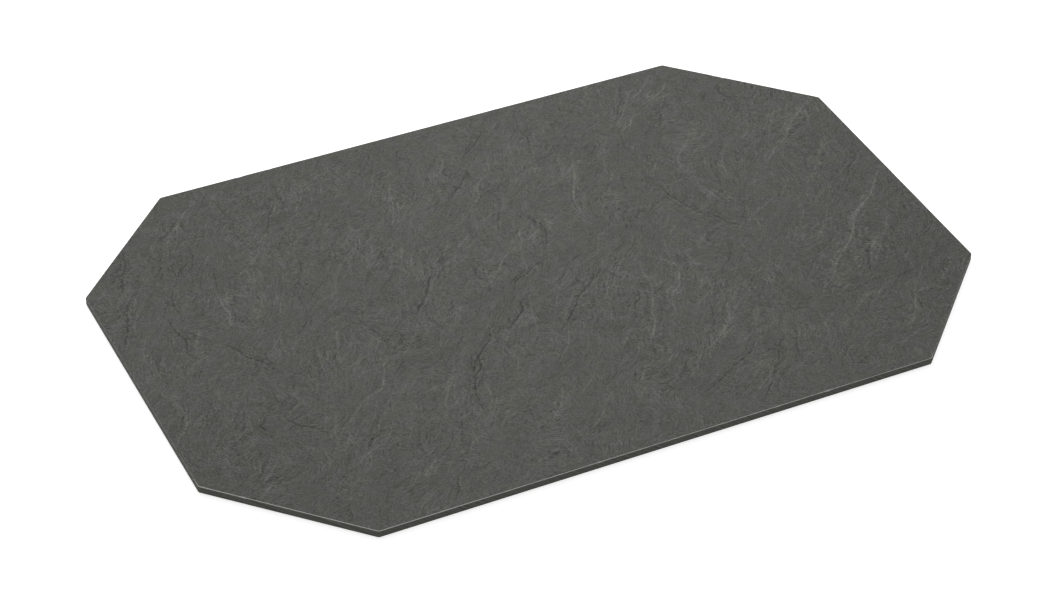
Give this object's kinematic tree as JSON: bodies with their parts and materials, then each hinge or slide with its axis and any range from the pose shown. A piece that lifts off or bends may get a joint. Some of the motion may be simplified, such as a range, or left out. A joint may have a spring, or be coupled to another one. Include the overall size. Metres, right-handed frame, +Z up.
{
  "type": "octagonal stone plate",
  "caption": "Thin flat stone plate with an elongated octagon outline, a split textured top, sawn and eased edges, and rubber pads underneath.",
  "frame": {"origin": "middle of the octagon, on the plane that the pads stand on", "axes": "+Z up through the thickness, +X along the length, +Y along the width"},
  "size_m": [1.2, 0.8, 0.015],
  "materials": {
    "split_stone": "matte",
    "pad_rubber": "matte"
  },
  "bodies": {
    "root": {"stone_slab": "split_stone", "pad_1": "pad_rubber", "pad_2": "pad_rubber", "pad_3": "pad_rubber", "pad_4": "pad_rubber", "pad_5": "pad_rubber", "pad_6": "pad_rubber", "pad_7": "pad_rubber", "pad_8": "pad_rubber", "pad_9": "pad_rubber", "pad_10": "pad_rubber", "pad_11": "pad_rubber", "pad_12": "pad_rubber"}
  },
  "joints": []
}
